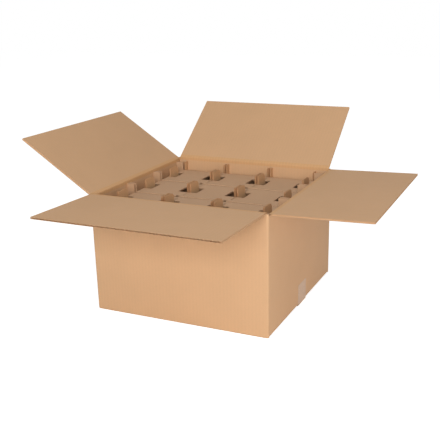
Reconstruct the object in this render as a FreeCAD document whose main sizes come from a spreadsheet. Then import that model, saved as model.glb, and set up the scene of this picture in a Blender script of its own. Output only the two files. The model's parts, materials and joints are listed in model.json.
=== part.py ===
import FreeCAD, Part
import os
import sys

# A corrugated bottle shipping box, open, with its nested set of trays and covers inside.
# Millimetres. X runs left to right along the front face, Y runs front to back, Z is up.
# The origin is the centre of the carton's underside.

doc = FreeCAD.newDocument("bottle_shipping_box")
sheet = doc.addObject("Spreadsheet::Sheet", "Sizes")

SIZES = [
    # the carton
    ("carton_length", 390, "outside length, left to right"),
    ("carton_width", 390, "outside width, front to back"),
    ("hinge_height", 250, "crease of the front and back flaps above the underside"),
    ("board", 3.6, "thickness of the carton's single wall board"),
    ("running_gap", 0.3, "clearance between pieces that pass or stack"),
    ("corner_radius", 4.8, "outside radius of the carton's four upright folds"),
    ("base_radius", 2.6, "outside radius of the folds round the underside"),
    ("flap_inset", 4.8, "end of each flap in from the carton's corner"),
    ("meeting_gap", 1.0, "gap between two flaps that meet when closed"),
    ("glue_tab_width", 35, "width of the glued tab inside the rear right corner"),
    ("glue_tab_margin", 5, "distance of the tab's ends from the floor and the closed flaps"),
    ("glue_tab_radius", 9, "radius of the tab's two free corners"),
    # the flaps as they stand open, degrees above level
    ("front_angle", 1.6, "front flap"),
    ("back_angle", 35.9, "back flap"),
    ("left_angle", 33.4, "left flap"),
    ("right_angle", 1.6, "right flap"),
    # the tape under the carton
    ("tape_width", 50, "width of the tape"),
    ("tape_rise", 47, "how far the tape runs up the left and right sides"),
    ("tape_film", 0.15, "thickness of the tape"),
    # the trays and covers
    ("insert_board", 3.0, "thickness of the insert's board"),
    ("fold_radius", 2.2, "outside radius of the folds of the trays and covers"),
    ("column_gap", 3.0, "gap between two trays back to back"),
    ("row_gap", 5.5, "gap between two covers back to back"),
    ("left_spacer", 17.5, "empty margin at the left of the cells"),
    ("right_spacer", 29, "empty margin at the right of the cells"),
    ("front_spacer", 25, "empty margin in front of the cells"),
    ("back_spacer", 13.5, "empty margin behind the cells"),
    ("standoff", 19, "height of the empty margin over and under the cells"),
    ("post_width", 39, "width of a post"),
    ("far_radius", 11, "radius of a post's far corner"),
    ("near_radius", 2.5, "radius of a post's near corner"),
    ("window_side", 41, "width of a window along its neighbour's board"),
    ("window_before", 28, "reach of a window before the pair of boards"),
    ("window_after", 14, "reach of a window past the pair of boards"),
    ("slit_width", 1.6, "width of the cuts that release a web at each crossing"),
    ("slit_stop", 9, "uncut length between a slit and the fold beside it"),
    ("eye_length", 6, "length of the small eye through a fold near each crossing"),
    ("eye_before", 7, "distance of the eye from the crossing's centre line"),
    ("eye_depth", 4, "reach of the eye in from the fold's outside"),
]
CELLS = 3

for line, (alias, value, note) in enumerate(SIZES, start=1):
    sheet.set(f"A{line}", alias)
    sheet.set(f"B{line}", str(value))
    sheet.set(f"C{line}", note)
    sheet.setAlias(f"B{line}", alias)

# Values worked out from the driving ones, kept in the same sheet as formulas.
DERIVED = [
    ("inner_radius", "corner_radius - board"),
    ("half_length", "carton_length / 2"),
    ("half_width", "carton_width / 2"),
    ("side_hinge", "hinge_height - board - running_gap"),
    ("floor_level", "2 * board + running_gap"),
    ("end_flap", "half_width - meeting_gap / 2"),
    ("side_flap", "half_length - meeting_gap / 2"),
    ("post_top", "side_hinge - board - running_gap"),
    ("cover_top", "post_top - standoff"),
    ("cover_under", "cover_top - insert_board"),
    ("tray_under", "floor_level + standoff"),
    ("tray_top", "tray_under + insert_board"),
    ("middle_level", "(floor_level + post_top) / 2"),
    ("wall_left", "board - half_length"),
    ("wall_right", "half_length - board"),
    ("wall_front", "board - half_width"),
    ("wall_back", "half_width - board"),
    ("first_column", "wall_left + left_spacer"),
    ("last_column", "wall_right - right_spacer"),
    ("first_row", "wall_front + front_spacer"),
    ("last_row", "wall_back - back_spacer"),
    ("column_pitch", f"(last_column - first_column) / {CELLS}"),
    ("row_pitch", f"(last_row - first_row) / {CELLS}"),
]
for line, (alias, formula) in enumerate(DERIVED, start=len(SIZES) + 1):
    sheet.set(f"A{line}", alias)
    sheet.set(f"B{line}", "=" + formula)
    sheet.setAlias(f"B{line}", alias)
doc.recompute()

ALIASES = {row[0] for row in SIZES + DERIVED}


def bound(text):
    """The expression with each alias pointing into the sheet."""
    words = []
    word = ""
    for letter in text + " ":
        if letter.isalnum() or letter == "_":
            word += letter
            continue
        if word:
            words.append("Sizes." + word if word in ALIASES else word)
            word = ""
        words.append(letter)
    return "".join(words).strip()


def box(name, x, y, z, turn=None):
    """A block between two expressions on each axis, turned about its first corner if asked."""
    block = doc.addObject("Part::Box", name)
    if turn:
        block.Placement = FreeCAD.Placement(FreeCAD.Vector(), FreeCAD.Rotation(*turn))
    for axis, size, (low, high) in zip("xyz", ("Length", "Width", "Height"), (x, y, z)):
        block.setExpression(f"Placement.Base.{axis}", bound(low))
        block.setExpression(size, bound(f"({high}) - ({low})"))
    return block


def joined(name, pieces):
    fuse = doc.addObject("Part::MultiFuse", name)
    fuse.Shapes = pieces
    fuse.Refine = True
    return fuse


def less(name, base, tools):
    """The base with every tool cut from it."""
    tool = tools[0]
    if len(tools) > 1:
        tool = joined(name + "_tools", tools)
    cut = doc.addObject("Part::Cut", name)
    cut.Base = base
    cut.Tool = tool
    cut.Refine = True
    return cut


def rounded(name, base, radius, wanted):
    """The base with the straight edges that pass the test rounded."""
    doc.recompute()
    size = float(sheet.get(radius))
    chosen = [
        (number, size, size)
        for number, edge in enumerate(base.Shape.Edges, start=1)
        if len(edge.Vertexes) == 2 and wanted(edge.Vertexes[0].Point, edge.Vertexes[1].Point)
    ]
    fillet = doc.addObject("Part::Fillet", name)
    fillet.Base = base
    fillet.Edges = chosen
    return fillet


def along(axis):
    """A test for edges that run along one axis."""
    others = [k for k in range(3) if k != axis]
    return lambda a, b: all(abs(a[k] - b[k]) < 1e-6 for k in others)


def carton():
    """Four walls, the glued tab and the two closed layers of bottom flaps, one folded sheet."""
    outer = box(
        "outer_block",
        ("-half_length", "half_length"),
        ("-half_width", "half_width"),
        ("0", "hinge_height"),
    )
    upright = rounded("outer_folds", outer, "corner_radius", along(2))

    def front_or_back_base(a, b):
        return along(0)(a, b) and abs(a.z) < 1e-6

    based = rounded("base_folds", upright, "base_radius", front_or_back_base)
    hollow = box(
        "hollow",
        ("wall_left", "wall_right"),
        ("wall_front", "wall_back"),
        ("floor_level", "hinge_height + board"),
    )
    cuts = [rounded("hollow_folds", hollow, "inner_radius", along(2))]
    # the side walls stop one board lower, where the inner flaps fold
    for side, x in (
        ("left", ("-half_length - board", "wall_left")),
        ("right", ("wall_right", "half_length + board")),
    ):
        cuts.append(
            box(
                f"{side}_step",
                x,
                ("wall_front", "wall_back"),
                ("side_hinge", "hinge_height + board"),
            )
        )
        # the outer bottom flaps stop short of the corners
        start = x[0] if side == "left" else "half_length - flap_inset"
        stop = "flap_inset - half_length" if side == "left" else x[1]
        cuts.append(
            box(
                f"{side}_notch",
                (start, stop),
                ("wall_front", "wall_back"),
                ("-board", "board + running_gap"),
            )
        )
    # the layers of bottom flaps lie loose on each other, and each pair leaves a seam
    cuts.append(
        box(
            "layer_gap",
            ("-half_length - board", "half_length + board"),
            ("wall_front", "wall_back"),
            ("board", "board + running_gap"),
        )
    )
    cuts.append(
        box(
            "outer_seam",
            ("-half_length - board", "half_length + board"),
            ("-meeting_gap / 2", "meeting_gap / 2"),
            ("-board", "board + running_gap"),
        )
    )
    cuts.append(
        box(
            "inner_seam",
            ("-meeting_gap / 2", "meeting_gap / 2"),
            ("wall_front", "wall_back"),
            ("board", "floor_level + board"),
        )
    )
    for side, y in (
        ("front", ("wall_front", "flap_inset - half_width")),
        ("back", ("half_width - flap_inset", "wall_back")),
    ):
        cuts.append(
            box(f"{side}_end_gap", ("wall_left", "wall_right"), y, ("board", "floor_level + board"))
        )
    # the recess that the tape has pressed into the outer bottom flaps
    cuts.append(
        box(
            "tape_bed",
            ("-half_length - board", "half_length + board"),
            ("-tape_width / 2", "tape_width / 2"),
            ("-board", "tape_film"),
        )
    )
    # the mitred top edges on which the flaps close
    inside_x = ("wall_left", "wall_right")
    inside_y = ("wall_front", "wall_back")
    wide = "2 * board"
    cuts.append(
        box(
            "front_mitre",
            inside_x,
            ("-half_width", f"-half_width + {wide}"),
            ("hinge_height", f"hinge_height + {wide}"),
            turn=(FreeCAD.Vector(1, 0, 0), -45),
        )
    )
    cuts.append(
        box(
            "back_mitre",
            inside_x,
            ("half_width", f"half_width + {wide}"),
            ("hinge_height", f"hinge_height + {wide}"),
            turn=(FreeCAD.Vector(1, 0, 0), 135),
        )
    )
    cuts.append(
        box(
            "left_mitre",
            ("-half_length", f"-half_length + {wide}"),
            inside_y,
            ("side_hinge", f"side_hinge + {wide}"),
            turn=(FreeCAD.Vector(0, 1, 0), 45),
        )
    )
    cuts.append(
        box(
            "right_mitre",
            ("half_length", f"half_length + {wide}"),
            inside_y,
            ("side_hinge", f"side_hinge + {wide}"),
            turn=(FreeCAD.Vector(0, 1, 0), -135),
        )
    )
    return joined("carton", [less("shell", based, cuts), glue_tab()])


def glue_tab():
    """The tab that continues the back wall round the corner, glued inside the right wall."""
    plate = box(
        "tab_plate",
        ("wall_right - board", "wall_right"),
        ("wall_back - glue_tab_width", "wall_back"),
        ("floor_level + glue_tab_margin", "post_top - glue_tab_margin"),
    )

    def free_corner(a, b):
        return along(0)(a, b) and a.y < plate.Placement.Base.y + plate.Width.Value / 2

    return rounded("glue_tab", plate, "glue_tab_radius", free_corner)


def flap(side, out, length, span, hinge, angle):
    """One top flap: its root mitred for closing, its rest angle a turn about its crease."""
    reach = {
        1: ("running_gap", length),
        -1: (f"-{length}", "-running_gap"),
    }[out]
    ends = (f"flap_inset - {span}", f"{span} - flap_inset")
    wide = "2 * board"
    start = f"{out} * running_gap"
    root = (start, f"{start} + {wide}")
    if side in ("front", "back"):
        sheet_block = box(f"{side}_sheet", ends, reach, ("0", "board"))
        mitre = box(
            f"{side}_root", ends, root, ("0", wide), turn=(FreeCAD.Vector(1, 0, 0), 45)
        )
        axis = FreeCAD.Vector(out, 0, 0)
        place = {"x": "0", "y": f"{out} * half_width", "z": hinge}
    else:
        sheet_block = box(f"{side}_sheet", reach, ends, ("0", "board"))
        mitre = box(
            f"{side}_root", root, ends, ("0", wide), turn=(FreeCAD.Vector(0, 1, 0), -45)
        )
        axis = FreeCAD.Vector(0, -out, 0)
        place = {"x": f"{out} * half_length", "y": "0", "z": hinge}
    piece = less(f"{side}_flap", sheet_block, [mitre])
    piece.Placement = FreeCAD.Placement(
        FreeCAD.Vector(), FreeCAD.Rotation(axis, float(sheet.get(angle)))
    )
    for letter, formula in place.items():
        piece.setExpression(f"Placement.Base.{letter}", bound(formula))
    piece.setExpression("Placement.Rotation.Angle", bound(angle))
    return piece


def tape():
    """The strip that closes the seam under the carton and turns up both sides."""
    half = "tape_width / 2"
    under = box(
        "tape_under",
        ("-half_length - tape_film", "half_length + tape_film"),
        (f"-{half}", half),
        ("0", "tape_film"),
    )
    ends = [
        box(f"tape_{side}", x, (f"-{half}", half), ("0", "tape_rise"))
        for side, x in (
            ("left", ("-half_length - tape_film", "-half_length")),
            ("right", ("half_length", "half_length + tape_film")),
        )
    ]
    return joined("bottom_tape", [under] + ends)


# The two kinds of channel. A tray runs front to back with its web below its walls, and a cover
# runs left to right with its web above them. Each crosses all of the other kind, half slot in
# half slot, and its posts and full height ends hold the webs away from the carton. The covers
# stop one board short of the right wall, clear of the glued tab.
TRAY = {
    "kind": "tray",
    "gap": "column_gap",
    "cross_gap": "row_gap",
    "pitch": "column_pitch",
    "first": "first_column",
    "cross_pitch": "row_pitch",
    "cross_first": "first_row",
    "cross_last": "last_row",
    "ends": ("wall_front", "wall_back"),
    "web": ("tray_under", "tray_top"),
    "wall": ("tray_under", "cover_under - running_gap"),
    "hollow": ("tray_top", "cover_under + board"),
    "fold_level": "tray_under",
    "post": ("cover_under - running_gap - far_radius", "post_top"),
    "slot": ("middle_level - running_gap / 2", "post_top + board"),
    "round_at": "post_top",
}
COVER = {
    "kind": "cover",
    "gap": "row_gap",
    "cross_gap": "column_gap",
    "pitch": "row_pitch",
    "first": "first_row",
    "cross_pitch": "column_pitch",
    "cross_first": "first_column",
    "cross_last": "last_column",
    "ends": ("wall_left", "wall_right - board"),
    "web": ("cover_under", "cover_top"),
    "wall": ("tray_top + running_gap", "cover_top"),
    "hollow": ("tray_top - board", "cover_under"),
    "fold_level": "cover_top",
    "post": ("floor_level", "tray_top + running_gap + far_radius"),
    "slot": ("floor_level - board", "middle_level + running_gap / 2"),
    "round_at": "floor_level",
}


def channel_box(plan, name, run, across, z):
    """A block of a channel, along and across its run."""
    if plan["kind"] == "tray":
        return box(name, across, run, z)
    return box(name, run, across, z)


def crossing(plan, line, extra="0"):
    """From before to past the boards of the other kind that stand at one of its grid lines."""
    centre = f"{plan['cross_first']} + {line} * {plan['cross_pitch']}"
    gap = f"{plan['cross_gap']} / 2"
    low = f"{centre} - {gap} - insert_board - {extra}" if line > 0 else f"{centre} + {gap} - {extra}"
    high = f"{centre} + {gap} + insert_board + {extra}" if line < CELLS else f"{centre} - {gap} + {extra}"
    return low, high


def channel(plan, number, label):
    """One folded channel: web, two walls, posts, full height ends, windows, slots and slits."""
    name = f"{plan['kind']}{number}"
    start = f"{plan['first']} + {number} * {plan['pitch']}"
    gap = f"{plan['gap']} / 2"
    outside = (f"{start} + {gap}", f"{start} + {plan['pitch']} - {gap}")
    walls = {
        "a": (outside[0], f"{outside[0]} + insert_board"),
        "b": (f"{outside[1]} - insert_board", outside[1]),
    }
    length = (plan["cross_first"], plan["cross_last"])
    solids = [folded(plan, name, length, outside)]
    for key, across in walls.items():
        for end, run in (
            ("near", (f"{plan['ends'][0]} + running_gap", plan["cross_first"])),
            ("far", (plan["cross_last"], f"{plan['ends'][1]} - running_gap")),
        ):
            solids.append(
                channel_box(
                    plan, f"{name}_{end}_{key}", run, across, ("floor_level", "post_top")
                )
            )
        for cell in range(CELLS):
            solids.append(post(plan, f"{name}_post_{key}{cell}", cell, across))
    cuts = []
    for line in range(CELLS + 1):
        cuts.append(
            channel_box(
                plan,
                f"{name}_slot{line}",
                crossing(plan, line, "running_gap"),
                (f"{outside[0]} - board", f"{outside[1]} + board"),
                plan["slot"],
            )
        )
        cuts.append(window(plan, f"{name}_window{line}", line, start))
        cuts += crossing_cuts(plan, f"{name}_cut{line}", line, outside)
    body = less(f"{name}_body", joined(f"{name}_blank", solids), cuts)
    body.Label = label
    return body


def folded(plan, name, length, outside):
    """The web and the two walls, one board folded twice."""
    block = channel_box(plan, f"{name}_block", length, outside, plan["wall"])
    level = float(sheet.get(plan["fold_level"]))
    run_axis = 1 if plan["kind"] == "tray" else 0
    folds = rounded(
        f"{name}_folds",
        block,
        "fold_radius",
        lambda a, b: along(run_axis)(a, b) and abs(a.z - level) < 1e-6,
    )
    hollow = channel_box(
        plan,
        f"{name}_hollow",
        (f"{length[0]} - board", f"{length[1]} + board"),
        (f"{outside[0]} + insert_board", f"{outside[1]} - insert_board"),
        plan["hollow"],
    )
    return less(f"{name}_folded", folds, [hollow])


def post(plan, name, cell, across):
    """A tongue that continues a wall through the other kind's window, its corners rounded."""
    middle = f"{plan['cross_first']} + ({cell} + 1 / 2) * {plan['cross_pitch']}"
    run = (f"{middle} - post_width / 2", f"{middle} + post_width / 2")
    tongue = channel_box(plan, f"{name}_block", run, across, plan["post"])
    doc.recompute()
    level = float(sheet.get(plan["round_at"]))
    axis, run_axis = (0, 1) if plan["kind"] == "tray" else (1, 0)
    places = [vertex.Point[run_axis] for vertex in tongue.Shape.Vertexes]
    for corner, place in (("far", max(places)), ("near", min(places))):
        tongue = rounded(
            f"{name}_{corner}",
            tongue,
            f"{corner}_radius",
            lambda a, b: along(axis)(a, b)
            and abs(a.z - level) < 1e-6
            and abs(a[run_axis] - place) < 1e-6,
        )
    return tongue


def window(plan, name, line, start):
    """The opening in the web for the other kind's posts at one grid line, midway across."""
    centre = f"{plan['cross_first']} + {line} * {plan['cross_pitch']}"
    boards = f"{plan['cross_gap']} / 2 + insert_board"
    run = (f"{centre} - {boards} - window_before", f"{centre} + {boards} + window_after")
    if line == 0:
        run = (f"{centre} - board", run[1])
    if line == CELLS:
        run = (run[0], f"{centre} + board")
    middle = f"{start} + {plan['pitch']} / 2"
    across = (f"{middle} - window_side / 2", f"{middle} + window_side / 2")
    low, high = plan["web"]
    return channel_box(plan, name, run, across, (f"{low} - board", f"{high} + board"))


def crossing_cuts(plan, name, line, outside):
    """The slit along the web and the two small eyes through its folds where the channels cross."""
    if line in (0, CELLS):
        return []
    centre = f"{plan['cross_first']} + {line} * {plan['cross_pitch']}"
    low, high = plan["web"]
    through = (f"{low} - board", f"{high} + board")
    slit = channel_box(
        plan,
        f"{name}_slit",
        (f"{centre} - slit_width / 2", f"{centre} + slit_width / 2"),
        (f"{outside[0]} + slit_stop", f"{outside[1]} - slit_stop"),
        through,
    )
    eye_run = (f"{centre} - eye_before - eye_length", f"{centre} - eye_before")
    if plan["kind"] == "tray":
        eye_levels = (through[0], f"{high} + insert_board")
    else:
        eye_levels = (f"{low} - insert_board", through[1])
    eyes = [
        channel_box(plan, f"{name}_eye_{key}", eye_run, across, eye_levels)
        for key, across in (
            ("a", (f"{outside[0]} - board", f"{outside[0]} + eye_depth")),
            ("b", (f"{outside[1]} - eye_depth", f"{outside[1]} + board")),
        )
    ]
    return [slit] + eyes


parts = [
    carton(),
    flap("front", -1, "end_flap", "half_length", "hinge_height", "front_angle"),
    flap("back", 1, "end_flap", "half_length", "hinge_height", "back_angle"),
    flap("left", -1, "side_flap", "half_width", "side_hinge", "left_angle"),
    flap("right", 1, "side_flap", "half_width", "side_hinge", "right_angle"),
    tape(),
]
for place, word in enumerate(("left", "middle", "right")):
    parts.append(channel(TRAY, place, f"{word}_tray"))
for place, word in enumerate(("front", "middle", "rear")):
    parts.append(channel(COVER, place, f"{word}_cover"))

doc.recompute()

failed = [item.Name for item in doc.Objects if {"Invalid", "Error"} & set(item.State)]
if failed:
    sys.exit("failed objects: " + ", ".join(failed))
for part in parts:
    shape = part.Shape
    if shape.isNull() or not shape.isValid() or len(shape.Solids) != 1:
        sys.exit(f"{part.Label}: null, invalid or {len(shape.Solids)} solids")

os.makedirs("parts", exist_ok=True)
for part in parts:
    part.Shape.exportStep(f"parts/{part.Label}.step")
    print(part.Label, round(part.Shape.Volume / 1000, 1), "cm3", len(part.Shape.Faces), "faces")
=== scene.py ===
"""A corrugated bottle shipping box, open, with its nested trays and covers inside."""

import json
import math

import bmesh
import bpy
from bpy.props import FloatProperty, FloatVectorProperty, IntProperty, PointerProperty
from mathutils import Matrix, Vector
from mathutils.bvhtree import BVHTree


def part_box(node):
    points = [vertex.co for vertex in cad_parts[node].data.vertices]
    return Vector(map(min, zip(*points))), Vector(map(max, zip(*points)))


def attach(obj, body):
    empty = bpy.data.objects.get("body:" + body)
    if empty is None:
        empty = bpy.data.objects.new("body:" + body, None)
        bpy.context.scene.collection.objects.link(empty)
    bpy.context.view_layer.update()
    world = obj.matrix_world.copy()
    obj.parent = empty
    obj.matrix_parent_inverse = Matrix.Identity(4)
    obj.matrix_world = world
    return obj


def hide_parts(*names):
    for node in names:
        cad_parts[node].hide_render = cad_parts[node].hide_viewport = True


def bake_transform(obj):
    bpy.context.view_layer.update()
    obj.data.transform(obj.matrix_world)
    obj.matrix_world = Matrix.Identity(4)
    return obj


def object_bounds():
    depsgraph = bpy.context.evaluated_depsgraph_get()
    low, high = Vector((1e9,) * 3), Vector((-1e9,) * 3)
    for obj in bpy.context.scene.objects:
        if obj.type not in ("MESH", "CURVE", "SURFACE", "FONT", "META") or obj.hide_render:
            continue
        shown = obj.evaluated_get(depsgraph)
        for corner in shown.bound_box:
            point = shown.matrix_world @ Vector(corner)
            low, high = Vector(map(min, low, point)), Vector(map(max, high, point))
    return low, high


bl_info = {
    "name": "Bottle Shipping Box",
    "version": (1, 0, 0),
    "blender": (4, 5, 0),
    "location": "3D View > Sidebar > Shipping Box",
    "description": "Builds an open corrugated carton with its bottle dividers",
    "category": "Add Mesh",
}

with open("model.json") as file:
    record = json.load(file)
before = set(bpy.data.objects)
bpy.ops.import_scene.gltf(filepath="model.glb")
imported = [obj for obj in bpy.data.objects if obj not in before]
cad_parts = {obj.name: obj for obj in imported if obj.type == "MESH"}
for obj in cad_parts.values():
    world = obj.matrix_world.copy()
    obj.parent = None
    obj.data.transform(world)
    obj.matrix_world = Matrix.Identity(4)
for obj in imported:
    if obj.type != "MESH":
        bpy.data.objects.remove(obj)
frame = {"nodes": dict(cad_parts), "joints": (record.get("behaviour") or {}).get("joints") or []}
CAD_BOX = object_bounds()

TRAYS = ("left_tray", "middle_tray", "right_tray")
COVERS = ("front_cover", "middle_cover", "rear_cover")
HINGES = {joint["child"]: joint for joint in frame["joints"]}
MM = 0.001


class BoardSizes(bpy.types.PropertyGroup):
    """Sizes of the corrugated board and its folds."""

    carton_board: FloatProperty(
        name="Carton board", description="Thickness of the carton's board",
        default=3.6 * MM, unit="LENGTH", precision=5,
    )
    insert_board: FloatProperty(
        name="Insert board", description="Thickness of the trays' and covers' board",
        default=3.0 * MM, unit="LENGTH", precision=5,
    )
    liner: FloatProperty(
        name="Liner", description="Thickness of the paper on each face of a board",
        default=0.35 * MM, unit="LENGTH", precision=5,
    )
    medium: FloatProperty(
        name="Medium", description="Thickness of the fluted paper inside a board",
        default=0.3 * MM, unit="LENGTH", precision=5,
    )
    carton_flute: FloatProperty(
        name="Carton flute", description="Length of one wave in the carton's board",
        default=7.5 * MM, unit="LENGTH", precision=5,
    )
    insert_flute: FloatProperty(
        name="Insert flute", description="Length of one wave in the trays' and covers' board",
        default=6.4 * MM, unit="LENGTH", precision=5,
    )
    flute_steps: IntProperty(
        name="Steps a flute", description="Straight steps that one wave is made of",
        default=8, min=4,
    )


class BoardColours(bpy.types.PropertyGroup):
    """Colours of the paper and the tape."""

    outside: FloatVectorProperty(
        name="Outside", description="Liner on the outside of the carton",
        default=(0.64, 0.385, 0.205), size=3, subtype="COLOR", min=0, max=1,
    )
    inside: FloatVectorProperty(
        name="Inside", description="Liner on the inside of the carton",
        default=(0.60, 0.34, 0.155), size=3, subtype="COLOR", min=0, max=1,
    )
    tray: FloatVectorProperty(
        name="Tray", description="Liners of the trays, whose posts stand up through the covers",
        default=(0.64, 0.37, 0.185), size=3, subtype="COLOR", min=0, max=1,
    )
    cover: FloatVectorProperty(
        name="Cover", description="Liners of the covers",
        default=(0.55, 0.335, 0.19), size=3, subtype="COLOR", min=0, max=1,
    )
    # Painted shade: the cut edge is darker than the liners, standing in for the shade in the gaps
    # between boards.
    cut_edge: FloatVectorProperty(
        name="Cut edge", description="Cut edge of a liner",
        default=(0.33, 0.195, 0.105), size=3, subtype="COLOR", min=0, max=1,
    )
    # Painted shade: the medium is far darker than the liners, standing in for the shade inside the
    # flutes.
    medium: FloatVectorProperty(
        name="Medium", description="Fluted paper inside the board",
        default=(0.15, 0.085, 0.045), size=3, subtype="COLOR", min=0, max=1,
    )
    tape: FloatVectorProperty(
        name="Tape", description="Clear packing tape with the kraft paper seen through it",
        default=(0.53, 0.33, 0.19), size=3, subtype="COLOR", min=0, max=1,
    )


def sizes():
    return bpy.context.scene.shipping_box_sizes


def colours():
    return bpy.context.scene.shipping_box_colours


# Meshes


def object_from(bm, name):
    """A new object at the origin that holds the bmesh, which is freed."""
    mesh = bpy.data.meshes.new(name)
    bm.to_mesh(mesh)
    bm.free()
    made = bpy.data.objects.new(name, mesh)
    bpy.context.scene.collection.objects.link(made)
    return made


def evaluated_bmesh(source):
    """The mesh of an object after its modifiers, as a bmesh. The object is removed."""
    graph = bpy.context.evaluated_depsgraph_get()
    mesh = bpy.data.meshes.new_from_object(source.evaluated_get(graph))
    bm = bmesh.new()
    bm.from_mesh(mesh)
    bpy.data.meshes.remove(mesh)
    bpy.data.objects.remove(source)
    return bm


def node_bmesh(node, turn):
    """A closed copy of a CAD node, its triangles merged, turned so that its panels lie square."""
    bm = bmesh.new()
    bm.from_mesh(frame["nodes"][node].data)
    bmesh.ops.remove_doubles(bm, verts=bm.verts, dist=1e-6)
    bmesh.ops.transform(bm, matrix=turn, verts=bm.verts)
    bm.normal_update()
    return bm


def add_to(bm, other):
    """Adds the faces of another bmesh, which is freed."""
    mesh = bpy.data.meshes.new("joined")
    other.to_mesh(mesh)
    other.free()
    bm.from_mesh(mesh)
    bpy.data.meshes.remove(mesh)


def smooth_where_soft(bm, limit=math.radians(35)):
    """Smooth shading that stops at edges sharper than the limit."""
    bm.normal_update()
    for face in bm.faces:
        face.smooth = True
    for edge in bm.edges:
        edge.smooth = edge.calc_face_angle(math.pi) < limit


# Corrugated board: two liners with a fluted medium between them, cut to the outline of a CAD node

# A board's material slots. The second is for the carton's inside, or the folds of a tray or cover,
# which are darkened as painted shade.
SLOTS = range(4)
FIRST_LINER, SECOND_LINER, CUT_EDGE, MEDIUM = SLOTS

# The largest part of a face's direction along an axis, which is no less on a flat panel
SQUARE = 0.99
# The same, which is less on a rounded fold
ROUNDED = 0.98


def plane_of(face):
    """What the faces of one flat side share: its direction and its distance from the origin."""
    normal = face.normal
    offset = normal.dot(face.verts[0].co)
    return tuple(round(part, 2) for part in normal) + (round(offset, 5),)


def liner_planes(bm, board):
    """The flat sides with one board or two that lie together behind them. The rest is cut edge."""
    step = 0.01 * MM
    doubled = 2.2 * board
    tree = BVHTree.FromBMesh(bm)
    votes = {}
    for face in bm.faces:
        start = face.calc_center_median() - face.normal * step
        depth = tree.ray_cast(start, -face.normal)[3]
        vote = face.calc_area()
        if depth is None or depth > doubled:
            vote = -vote
        votes[plane_of(face)] = votes.get(plane_of(face), 0) + vote
    return {plane for plane, vote in votes.items() if vote > 0}


def panels_of(bm, planes, board):
    """Each square panel: the axis through its thickness, its middle level and its corners."""
    panels = []
    for face in bm.faces:
        plane = plane_of(face)
        axis = max(range(3), key=lambda k: abs(face.normal[k]))
        if plane not in planes or abs(plane[axis]) < SQUARE:
            continue
        level = face.verts[0].co[axis] - math.copysign(board / 2, face.normal[axis])
        near = [p for p in panels if p["axis"] == axis and abs(p["level"] - level) < board / 2]
        if not near:
            near = [{"axis": axis, "level": level, "points": []}]
            panels += near
        near[0]["points"] += [vert.co.copy() for vert in face.verts]
    return panels


def flute_sheet(panel, vary, board, pitch):
    """The medium of one panel, wavy along one axis and a little larger than the panel."""
    beyond = 1.0 * MM
    clear = 0.02 * MM
    axis = panel["axis"]
    other = 3 - axis - vary
    low = [min(p[k] for p in panel["points"]) - beyond for k in range(3)]
    high = [max(p[k] for p in panel["points"]) + beyond for k in range(3)]
    swing = board / 2 - sizes().liner - clear - sizes().medium / 2
    bm = bmesh.new()
    steps = round((high[vary] - low[vary]) / pitch * sizes().flute_steps)
    bmesh.ops.create_grid(bm, x_segments=steps, y_segments=1, size=0.5)
    for vert in bm.verts:
        run = low[vary] + (vert.co.x + 0.5) * (high[vary] - low[vary])
        across = low[other] + (vert.co.y + 0.5) * (high[other] - low[other])
        wave = swing * math.cos(2 * math.pi * run / pitch)
        vert.co[vary] = run
        vert.co[other] = across
        vert.co[axis] = panel["level"] + wave - sizes().medium / 2
    made = bmesh.ops.extrude_face_region(bm, geom=bm.faces[:], use_keep_orig=True)
    raised = [item for item in made["geom"] if isinstance(item, bmesh.types.BMVert)]
    rise = Vector([sizes().medium if k == axis else 0 for k in range(3)])
    bmesh.ops.translate(bm, vec=rise, verts=raised)
    bmesh.ops.recalc_face_normals(bm, faces=bm.faces)
    return bm


def cut_to(bm, outline):
    """What of a closed sheet lies inside the outline object."""
    sheet = object_from(bm, "sheet")
    cut = sheet.modifiers.new("Outline", "BOOLEAN")
    cut.operation = "INTERSECT"
    cut.solver = "EXACT"
    cut.object = outline
    return evaluated_bmesh(sheet)


def thicken(sheet):
    """Gives a sheet a liner's thickness, behind its faces."""
    shell = sheet.modifiers.new("Thickness", "SOLIDIFY")
    shell.thickness = sizes().liner
    shell.offset = -1
    return shell


def liner_sheets(bm, planes, is_second):
    """The liners as thin sheets with cut rims, made from a node's flat sides."""
    flat = math.radians(0.5)
    edges = [face for face in bm.faces if plane_of(face) not in planes]
    bmesh.ops.delete(bm, geom=edges, context="FACES")
    for face in bm.faces:
        face.material_index = SECOND_LINER if is_second(face) else FIRST_LINER
    bmesh.ops.dissolve_limit(
        bm, angle_limit=flat, verts=bm.verts, edges=bm.edges, delimit={"MATERIAL"}
    )
    bmesh.ops.triangulate(bm, faces=[face for face in bm.faces if len(face.verts) > 4])
    sheets = object_from(bm, "liners")
    shell = thicken(sheets)
    shell.use_even_offset = True
    shell.material_offset_rim = CUT_EDGE
    for _ in SLOTS:
        sheets.data.materials.append(None)
    return evaluated_bmesh(sheets)


def lay_out(bm, vary_of):
    """A UV map in metres on each panel: first along the waves' run, then along the flutes."""
    layer = bm.loops.layers.uv.new("board")
    for face in bm.faces:
        middle = face.calc_center_median()
        axis = max(range(3), key=lambda k: abs(face.normal[k]))
        vary = vary_of(axis, middle[axis])
        if vary == axis:
            vary = (axis + 1) % 3
        other = 3 - axis - vary
        for loop in face.loops:
            loop[layer].uv = (loop.vert.co[vary], loop.vert.co[other])


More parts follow.
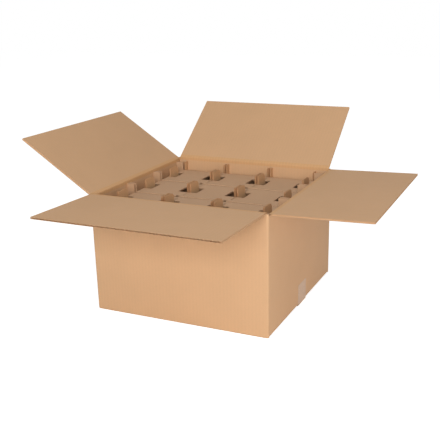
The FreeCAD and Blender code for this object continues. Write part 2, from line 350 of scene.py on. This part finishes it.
def corrugated(node, board, pitch, vary_of, is_second, turn=Matrix.Identity(4)):
    """The board of one CAD node, built up from its liners and its fluted medium.

    vary_of gives the axis that the waves run along on a panel, from the panel's axis and level.
    is_second says which faces of the liners take the second material.
    """
    bm = node_bmesh(node, turn)
    planes = liner_planes(bm, board)
    panels = panels_of(bm, planes, board)
    outline = object_from(bm.copy(), node + "_outline")
    whole = liner_sheets(bm, planes, is_second)
    for panel in panels:
        vary = vary_of(panel["axis"], panel["level"])
        sheet = cut_to(flute_sheet(panel, vary, board, pitch), outline)
        for face in sheet.faces:
            face.material_index = MEDIUM
        add_to(whole, sheet)
    bpy.data.objects.remove(outline)
    smooth_where_soft(whole)
    lay_out(whole, vary_of)
    bmesh.ops.transform(whole, matrix=turn.inverted(), verts=whole.verts)
    return object_from(whole, node + "_board")


def finish_board(made, node, body, materials):
    """Gives a board its materials and lets it stand for its CAD node."""
    made.data.materials.clear()
    for material in materials:
        made.data.materials.append(material)
    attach(made, body)
    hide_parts(node)


# Materials


def nodes_of(owner):
    """The emptied node tree of a material or a world."""
    owner.use_nodes = True
    tree = owner.node_tree
    tree.nodes.clear()
    return tree


def add_node(tree, kind, values=None, **settings):
    """A node with its settings and its sockets' values."""
    node = tree.nodes.new(kind)
    for name, value in settings.items():
        setattr(node, name, value)
    for name, value in (values or {}).items():
        node.inputs[name].default_value = value
    return node


def maths(tree, operation, first, second):
    """A Math node between two sockets or numbers, and its result."""
    node = add_node(tree, "ShaderNodeMath", operation=operation)
    for place, value in enumerate((first, second)):
        if isinstance(value, bpy.types.NodeSocket):
            tree.links.new(value, node.inputs[place])
        else:
            node.inputs[place].default_value = value
    return node.outputs[0]


def group_sockets(group, inputs, outputs):
    """Gives a group its named inputs, with their defaults, and its named outputs."""
    for name, kind, value in inputs:
        socket = group.interface.new_socket(name, in_out="INPUT", socket_type=kind)
        if value is not None:
            socket.default_value = value
    for name, kind in outputs:
        group.interface.new_socket(name, in_out="OUTPUT", socket_type=kind)


def noise(tree, vector, values):
    """The value of a noise texture over a vector, about 0.5."""
    node = add_node(tree, "ShaderNodeTexNoise", values)
    tree.links.new(vector, node.inputs["Vector"])
    return node.outputs[0]


def centred(tree, value, amount):
    """A noise value moved to lie about zero, times an amount."""
    return maths(tree, "MULTIPLY", maths(tree, "SUBTRACT", value, 0.5), amount)


def spread(tree, value, low, high, least=0, most=1):
    """A value stretched from one range to another, and kept within it."""
    node = add_node(
        tree, "ShaderNodeMapRange",
        {"From Min": low, "From Max": high, "To Min": least, "To Max": most},
    )
    tree.links.new(value, node.inputs["Value"])
    return node.outputs["Result"]


def kraft_fibres():
    """Group: cloudy tone, fibres along the paper's run, specks and the show-through of the flutes."""
    name = "Kraft Fibres"
    if name in bpy.data.node_groups:
        return bpy.data.node_groups[name]
    group = bpy.data.node_groups.new(name, "ShaderNodeTree")
    group_sockets(
        group,
        [
            ("Object", "NodeSocketVector", None),
            ("Board", "NodeSocketVector", None),
            ("Colour", "NodeSocketColor", (0.6, 0.36, 0.2, 1)),
            ("Cloud", "NodeSocketFloat", 0.1),
            ("Fibre", "NodeSocketFloat", 0.1),
            ("Speck", "NodeSocketFloat", 0.2),
            ("Wash", "NodeSocketFloat", 0.02),
            ("Flute", "NodeSocketFloat", 0.0075),
        ],
        [
            ("Colour", "NodeSocketColor"),
            ("Roughness", "NodeSocketFloat"),
            ("Height", "NodeSocketFloat"),
        ],
    )
    source = add_node(group, "NodeGroupInput").outputs
    link = group.links.new

    cloud = noise(group, source["Object"], {"Scale": 14, "Detail": 4, "Roughness": 0.6})
    mottle = noise(group, source["Object"], {"Scale": 190, "Detail": 5, "Roughness": 0.65})
    fleck = noise(group, source["Object"], {"Scale": 620, "Detail": 2, "Roughness": 0.5})
    grain = add_node(group, "ShaderNodeMapping", {"Scale": (260, 1900, 1)})
    link(source["Board"], grain.inputs["Vector"])
    streak = noise(group, grain.outputs[0], {"Scale": 1, "Detail": 5, "Roughness": 0.6})

    split = add_node(group, "ShaderNodeSeparateXYZ")
    link(source["Board"], split.inputs[0])
    turn = maths(group, "MULTIPLY", split.outputs[0], 2 * math.pi)
    wave = maths(group, "COSINE", maths(group, "DIVIDE", turn, source["Flute"]), 0)

    tone = centred(group, cloud, source["Cloud"])
    patch = centred(group, mottle, source["Cloud"])
    hair = centred(group, streak, source["Fibre"])
    ridge = maths(group, "MULTIPLY", wave, source["Wash"])
    dots = spread(group, fleck, low=0.66, high=0.76)
    speck = maths(group, "MULTIPLY", dots, source["Speck"])
    total = maths(group, "ADD", maths(group, "ADD", tone, patch), maths(group, "ADD", hair, ridge))
    level = maths(group, "ADD", maths(group, "SUBTRACT", total, speck), 1)
    tint = add_node(group, "ShaderNodeVectorMath", operation="SCALE")
    link(source["Colour"], tint.inputs[0])
    link(level, tint.inputs["Scale"])

    rough = spread(group, mottle, low=0.3, high=0.7, least=0.62, most=0.8)
    streak_height = 0.35
    wave_height = 0.25
    relief = maths(group, "ADD", maths(group, "MULTIPLY", streak, streak_height), mottle)
    height = maths(group, "ADD", relief, maths(group, "MULTIPLY", wave, wave_height))
    result = add_node(group, "NodeGroupOutput")
    link(tint.outputs[0], result.inputs["Colour"])
    link(rough, result.inputs["Roughness"])
    link(height, result.inputs["Height"])
    return group


def paper(name, colour, flute, *, relief, cloud, fibre, speck, wash):
    """A kraft paper: the fibre group feeding a matt surface.

    cloud, fibre, speck and wash are how much each of them changes the tone, and relief is the
    height of the grain. wash is the show-through of the waves, and flute is the length of one.
    """
    if name in bpy.data.materials:
        return bpy.data.materials[name]
    material = bpy.data.materials.new(name)
    tree = nodes_of(material)
    place = add_node(tree, "ShaderNodeTexCoord")
    board = add_node(tree, "ShaderNodeUVMap", uv_map="board")
    amounts = {"Cloud": cloud, "Fibre": fibre, "Speck": speck, "Wash": wash}
    fibres = add_node(
        tree, "ShaderNodeGroup", {"Colour": (*colour, 1), "Flute": flute, **amounts},
        node_tree=kraft_fibres(),
    )
    bump = add_node(tree, "ShaderNodeBump", {"Strength": 0.5, "Distance": relief})
    surface = add_node(tree, "ShaderNodeBsdfPrincipled", {"Specular IOR Level": 0.5})
    output = add_node(tree, "ShaderNodeOutputMaterial")
    link = tree.links.new
    link(place.outputs["Object"], fibres.inputs["Object"])
    link(board.outputs[0], fibres.inputs["Board"])
    link(fibres.outputs["Colour"], surface.inputs["Base Color"])
    link(fibres.outputs["Roughness"], surface.inputs["Roughness"])
    link(fibres.outputs["Height"], bump.inputs["Height"])
    link(bump.outputs[0], surface.inputs["Normal"])
    link(surface.outputs[0], output.inputs["Surface"])
    return material


def carton_paper():
    """Materials of the carton's board: liner outside, liner inside, cut edge, medium."""
    flute = sizes().carton_flute
    tones = colours()
    liner = {"relief": 0.10 * MM, "cloud": 0.10, "fibre": 0.10, "speck": 0.12}
    edge = {"relief": 0.05 * MM, "fibre": 0.10, "speck": 0.10, "wash": 0}
    return [
        paper("Kraft outside", tones.outside, flute, wash=0.010, **liner),
        paper("Kraft inside", tones.inside, flute, wash=0.014, **liner),
        # The dark tones of the cut edge and the medium are painted shade in the gaps and the flutes.
        paper("Kraft cut edge", tones.cut_edge, flute, cloud=0.25, **edge),
        paper("Kraft medium", tones.medium, flute, cloud=0.20, **edge),
    ]


def crease_highlight_paper():
    """The inside liner round a crease, made paler as a painted highlight along the crease."""
    # Painted highlight: the crease's liner is paler than the inside liner, standing in for the light
    # its curve catches.
    highlight_level = 1.08
    highlighted = [part * highlight_level for part in colours().inside]
    return paper(
        "Kraft crease", highlighted, sizes().carton_flute,
        relief=0.12 * MM, cloud=0.12, fibre=0.10, speck=0.12, wash=0.02,
    )


def insert_paper(kind):
    """Materials of the trays or the covers, with the folds second, darkened as painted shade along
    the folds.
    """
    # Painted shade: the folds' paper is half as bright as the liner, standing in for the dark lines
    # where the boards meet.
    fold_shade_level = 0.5
    flute = sizes().insert_flute
    tone = getattr(colours(), kind)
    shaded_fold_tone = [part * fold_shade_level for part in tone]
    liner = paper(
        f"{kind.title()} liner", tone, flute,
        relief=0.10 * MM, cloud=0.16, fibre=0.14, speck=0.18, wash=0.014,
    )
    fold = paper(
        f"{kind.title()} fold", shaded_fold_tone, flute,
        relief=0.12 * MM, cloud=0.3, fibre=0.2, speck=0.3, wash=0,
    )
    return [liner, fold] + carton_paper()[CUT_EDGE:]


def on_a_fold(face):
    """Whether a face is part of a rounded fold, and lies square to no axis."""
    return max(abs(part) for part in face.normal) < ROUNDED


def tape_film():
    """Clear packing tape stuck to kraft paper: a paler, patchy, softly shining skin."""
    material = bpy.data.materials.new("Packing tape")
    tree = nodes_of(material)
    place = add_node(tree, "ShaderNodeTexCoord").outputs["Object"]
    wrinkle = noise(tree, place, {"Scale": 70, "Detail": 3, "Distortion": 0.6})
    stick = noise(tree, place, {"Scale": 240, "Detail": 4, "Roughness": 0.7})
    patch = spread(tree, stick, low=0.35, high=0.65, least=0.92, most=1.08)
    tint = add_node(tree, "ShaderNodeVectorMath", {0: colours().tape}, operation="SCALE")
    bump = add_node(tree, "ShaderNodeBump", {"Strength": 0.6, "Distance": 0.2 * MM})
    surface = add_node(tree, "ShaderNodeBsdfPrincipled", {"Roughness": 0.45, "Coat Weight": 0.1})
    output = add_node(tree, "ShaderNodeOutputMaterial")
    link = tree.links.new
    link(patch, tint.inputs["Scale"])
    link(tint.outputs[0], surface.inputs["Base Color"])
    link(wrinkle, bump.inputs["Height"])
    link(bump.outputs[0], surface.inputs["Normal"])
    link(surface.outputs[0], output.inputs["Surface"])
    return material


# Pieces

CREASE_STEPS = 10
CREASE_LENGTHS = 96


def wave_axis(flap):
    """The axis that a flap's crease lies along, and so do the waves of its board."""
    return 0 if abs(HINGES[flap]["axis"][0]) > 0.5 else 1


def level_turn(flap):
    """The turn about a flap's crease that lays its board level."""
    bm = bmesh.new()
    bm.from_mesh(frame["nodes"][flap].data)
    upper = [face for face in bm.faces if face.normal.z > 0]
    normal = max(upper, key=lambda face: face.calc_area()).normal.copy()
    bm.free()
    crease = Vector(HINGES[flap]["pos_m"])
    turn = normal.rotation_difference(Vector((0, 0, 1))).to_matrix().to_4x4()
    return Matrix.Translation(crease) @ turn @ Matrix.Translation(-crease)


def crease_path(flap):
    """An arc about the hinge, with a straight tongue at both ends that lies on a liner."""
    board = sizes().carton_board
    radius = board + 0.04 * MM
    tongue = board + 0.5 * MM
    lap = 1.2 * MM
    pivot = Vector(HINGES[flap]["pos_m"])
    down = Vector((0, 0, -1))
    inwards = -Vector((pivot.x, pivot.y, 0)).normalized()
    normal = level_turn(flap).to_3x3().inverted() @ Vector((0, 0, 1))
    out_along = Vector(HINGES[flap]["axis"]).cross(normal)
    if out_along.dot(inwards) > 0:
        out_along = -out_along
    bend = inwards.angle(normal)
    path = [pivot + inwards * radius + down * depth for depth in (tongue + lap, tongue)]
    for step in range(CREASE_STEPS + 1):
        spin = Matrix.Rotation(bend * step / CREASE_STEPS, 3, inwards.cross(normal))
        path.append(pivot + spin @ inwards * radius)
    path += [pivot + normal * radius + out_along * reach for reach in (tongue, tongue + lap)]
    return path


def along_crease(path, flap):
    """A sheet that the path draws along the flap's whole width, its faces away from the hinge."""
    pivot = Vector(HINGES[flap]["pos_m"])
    along = Vector([abs(part) for part in HINGES[flap]["axis"][:2]] + [0])
    low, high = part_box(flap)
    first = min(low.dot(along), high.dot(along))
    length = abs((high - low).dot(along))
    at_start = along * (first - pivot.dot(along))
    bm = bmesh.new()
    points = [bm.verts.new(point + at_start) for point in path]
    line = [bm.edges.new(pair) for pair in zip(points, points[1:])]
    for _ in range(CREASE_LENGTHS):
        made = bmesh.ops.extrude_edge_only(bm, edges=line)
        fresh = [item for item in made["geom"] if isinstance(item, bmesh.types.BMVert)]
        bmesh.ops.translate(bm, vec=along * (length / CREASE_LENGTHS), verts=fresh)
        line = [item for item in made["geom"] if isinstance(item, bmesh.types.BMEdge)]
    bmesh.ops.recalc_face_normals(bm, faces=bm.faces)
    outward = bm.faces[0].normal.dot(bm.faces[0].calc_center_median() - pivot)
    if outward < 0:
        bmesh.ops.reverse_faces(bm, faces=bm.faces)
    return bm


class SHIPPING_BOX_OT_carton(bpy.types.Operator):
    """Build the carton's walls, glued tab and bottom flaps"""

    bl_idname = "shipping_box.carton"
    bl_label = "Carton"

    def execute(self, context):
        board = sizes().carton_board
        low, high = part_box("carton")
        middle = (low + high) / 2

        def vary_of(axis, level):
            """Flutes stand upright in the walls and run on into each wall's flaps."""
            if axis == 2:
                return 0 if level < low.z + board else 1
            return 1 - axis

        def facing_in(face):
            """A bottom flap's upper side, and a wall's side towards the middle, are the inside."""
            centre = face.calc_center_median()
            if abs(face.normal.z) > 0.7:
                return face.normal.z > 0
            flat = Vector((middle.x - centre.x, middle.y - centre.y, 0))
            return face.normal.dot(flat) > 0

        made = corrugated("carton", board, sizes().carton_flute, vary_of, facing_in)
        finish_board(made, "carton", "carton", carton_paper())
        return {"FINISHED"}


class SHIPPING_BOX_OT_flaps(bpy.types.Operator):
    """Build the four top flaps"""

    bl_idname = "shipping_box.flaps"
    bl_label = "Top flaps"

    def execute(self, context):
        for flap in HINGES:
            made = corrugated(
                flap,
                sizes().carton_board,
                sizes().carton_flute,
                lambda axis, level: wave_axis(flap),
                lambda face: face.normal.z > 0,
                level_turn(flap),
            )
            finish_board(made, flap, flap, carton_paper())
        return {"FINISHED"}


class SHIPPING_BOX_OT_creases(bpy.types.Operator):
    """Build the liner that bends round each top flap's crease"""

    bl_idname = "shipping_box.creases"
    bl_label = "Creases"

    def execute(self, context):
        for flap in HINGES:
            path = crease_path(flap)
            sheet = object_from(along_crease(path, flap), "liner")
            thicken(sheet)
            bm = evaluated_bmesh(sheet)
            smooth_where_soft(bm)
            lay_out(bm, lambda axis, level: wave_axis(flap))
            made = object_from(bm, flap.replace("flap", "crease"))
            made.data.materials.append(crease_highlight_paper())
            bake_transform(made)
        return {"FINISHED"}


class SHIPPING_BOX_OT_tape(bpy.types.Operator):
    """Build the clear tape under the carton"""

    bl_idname = "shipping_box.tape"
    bl_label = "Bottom tape"

    def execute(self, context):
        bm = node_bmesh("bottom_tape", Matrix.Identity(4))
        made = object_from(bm, "clear_tape")
        made.data.materials.append(tape_film())
        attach(made, "carton")
        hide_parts("bottom_tape")
        return {"FINISHED"}


class SHIPPING_BOX_OT_inserts(bpy.types.Operator):
    """Build the nested trays and covers"""

    bl_idname = "shipping_box.inserts"
    bl_label = "Trays and covers"

    def execute(self, context):
        for kind, names, vary in (("tray", TRAYS, 1), ("cover", COVERS, 0)):
            for node in names:
                made = corrugated(
                    node,
                    sizes().insert_board,
                    sizes().insert_flute,
                    lambda axis, level: vary,
                    on_a_fold,
                )
                finish_board(made, node, "carton", insert_paper(kind))
        return {"FINISHED"}


# Stage

CAMERA_AZIMUTH = math.radians(25.45)
CAMERA_ELEVATION = math.radians(18.256)
CAMERA_ROLL = math.radians(-1.347)
CAMERA_DISTANCE = 1.631677
CAMERA_TARGET = Vector((0, 0, 0.125))
IMAGE_SIZE = 440
FOCAL_PIXELS = 740.279
CENTRE_X = 218.308
CENTRE_Y = 236.365
SENSOR = 36
WORLD_LEVEL = 0.27
FLOOR_HALF = 6
FLOOR_GLOW = 0.78


def direction(azimuth, elevation):
    """A unit vector from the object, azimuth 0 straight in front and growing to the right."""
    flat = math.cos(elevation)
    return Vector((math.sin(azimuth) * flat, -math.cos(azimuth) * flat, math.sin(elevation)))


def add_camera():
    """The photograph's camera, shifted because its view isn't centred on the middle of the frame."""
    back = direction(CAMERA_AZIMUTH, CAMERA_ELEVATION)
    right = Vector((0, 0, 1)).cross(back).normalized()
    up = back.cross(right)
    turned_right = right * math.cos(CAMERA_ROLL) + up * math.sin(CAMERA_ROLL)
    turned_up = up * math.cos(CAMERA_ROLL) - right * math.sin(CAMERA_ROLL)
    lens = bpy.data.cameras.new("camera")
    lens.sensor_width = SENSOR
    lens.lens = FOCAL_PIXELS / IMAGE_SIZE * SENSOR
    lens.shift_x = (IMAGE_SIZE / 2 - CENTRE_X) / IMAGE_SIZE
    lens.shift_y = (CENTRE_Y - IMAGE_SIZE / 2) / IMAGE_SIZE
    camera = bpy.data.objects.new("camera", lens)
    turn = Matrix((turned_right, turned_up, back)).transposed().to_4x4()
    camera.matrix_world = Matrix.Translation(CAMERA_TARGET + back * CAMERA_DISTANCE) @ turn
    bpy.context.scene.collection.objects.link(camera)
    bpy.context.scene.camera = camera


def add_softbox(name, azimuth, elevation, distance, size, level, target=CAMERA_TARGET):
    """A lamp that gives a surface that faces it about the level, where 1 shows its own colour."""
    lamp = bpy.data.lights.new(name, "AREA")
    lamp.shape = "RECTANGLE"
    lamp.size, lamp.size_y = size
    lamp.energy = level * (math.pi * distance) ** 2
    softbox = bpy.data.objects.new(name, lamp)
    towards = direction(math.radians(azimuth), math.radians(elevation))
    softbox.location = target + towards * distance
    softbox.rotation_euler = towards.to_track_quat("Z", "Y").to_euler()
    bpy.context.scene.collection.objects.link(softbox)


def seen_directly(tree):
    """1 for camera, glossy and transmission rays, 0 for the rays that light the object."""
    path = add_node(tree, "ShaderNodeLightPath").outputs
    shown = maths(tree, "MAXIMUM", path["Is Camera Ray"], path["Is Glossy Ray"])
    return maths(tree, "MAXIMUM", shown, path["Is Transmission Ray"])


def add_world():
    """White where it is seen, and dimmer where it lights the object."""
    world = bpy.data.worlds.new("studio")
    bpy.context.scene.world = world
    tree = nodes_of(world)
    strength = spread(tree, seen_directly(tree), low=0, high=1, least=WORLD_LEVEL)
    background = add_node(tree, "ShaderNodeBackground", {"Color": (1, 1, 1, 1)})
    output = add_node(tree, "ShaderNodeOutputWorld")
    tree.links.new(strength, background.inputs["Strength"])
    tree.links.new(background.outputs[0], output.inputs["Surface"])


def floor_material():
    """White paper: its own glow makes it white where it is seen, apart from the deepest shadow."""
    material = bpy.data.materials.new("White floor")
    tree = nodes_of(material)
    matt = add_node(tree, "ShaderNodeBsdfDiffuse", {"Color": (0.8, 0.8, 0.8, 1)})
    glow = add_node(tree, "ShaderNodeEmission", {"Color": (1, 1, 1, 1)})
    both = add_node(tree, "ShaderNodeAddShader")
    output = add_node(tree, "ShaderNodeOutputMaterial")
    strength = maths(tree, "MULTIPLY", seen_directly(tree), FLOOR_GLOW)
    tree.links.new(strength, glow.inputs["Strength"])
    tree.links.new(matt.outputs[0], both.inputs[0])
    tree.links.new(glow.outputs[0], both.inputs[1])
    tree.links.new(both.outputs[0], output.inputs["Surface"])
    return material


class SHIPPING_BOX_OT_stage(bpy.types.Operator):
    """Set up the floor, the lamps and the camera"""

    bl_idname = "shipping_box.stage"
    bl_label = "Stage"

    def execute(self, context):
        bm = bmesh.new()
        bmesh.ops.create_grid(bm, x_segments=1, y_segments=1, size=FLOOR_HALF)
        bmesh.ops.translate(bm, vec=(0, 0, CAD_BOX[0][2]), verts=bm.verts)
        floor = object_from(bm, "floor")
        floor.data.materials.append(floor_material())
        add_world()
        add_softbox("key", azimuth=15, elevation=19, distance=2.6, size=(1.6, 1.1), level=0.62)
        add_softbox("top", azimuth=50, elevation=64, distance=2.4, size=(1.4, 1.4), level=0.20)
        add_softbox(
            "low right", azimuth=84, elevation=0, distance=1.3, size=(1.0, 0.16), level=0.15,
            target=Vector((0, 0, 0.08)),
        )
        add_camera()
        context.scene.view_settings.view_transform = "Standard"
        return {"FINISHED"}


class SHIPPING_BOX_PT_panel(bpy.types.Panel):
    """Builds the shipping box piece by piece"""

    bl_label = "Shipping Box"
    bl_space_type = "VIEW_3D"
    bl_region_type = "UI"
    bl_category = "Shipping Box"

    def draw(self, context):
        layout = self.layout
        for group in (sizes(), colours()):
            box = layout.box()
            for name in group.__annotations__:
                box.prop(group, name)
        for operator in OPERATORS:
            layout.operator(operator.bl_idname)


OPERATORS = (
    SHIPPING_BOX_OT_carton,
    SHIPPING_BOX_OT_flaps,
    SHIPPING_BOX_OT_creases,
    SHIPPING_BOX_OT_tape,
    SHIPPING_BOX_OT_inserts,
    SHIPPING_BOX_OT_stage,
)
CLASSES = (BoardSizes, BoardColours) + OPERATORS + (SHIPPING_BOX_PT_panel,)


def register():
    for item in CLASSES:
        bpy.utils.register_class(item)
    bpy.types.Scene.shipping_box_sizes = PointerProperty(type=BoardSizes)
    bpy.types.Scene.shipping_box_colours = PointerProperty(type=BoardColours)


def unregister():
    del bpy.types.Scene.shipping_box_colours
    del bpy.types.Scene.shipping_box_sizes
    for item in reversed(CLASSES):
        bpy.utils.unregister_class(item)


def main():
    register()
    bpy.ops.shipping_box.carton()
    bpy.ops.shipping_box.flaps()
    bpy.ops.shipping_box.creases()
    bpy.ops.shipping_box.tape()
    bpy.ops.shipping_box.inserts()
    bpy.ops.shipping_box.stage()


if __name__ == "__main__":
    main()
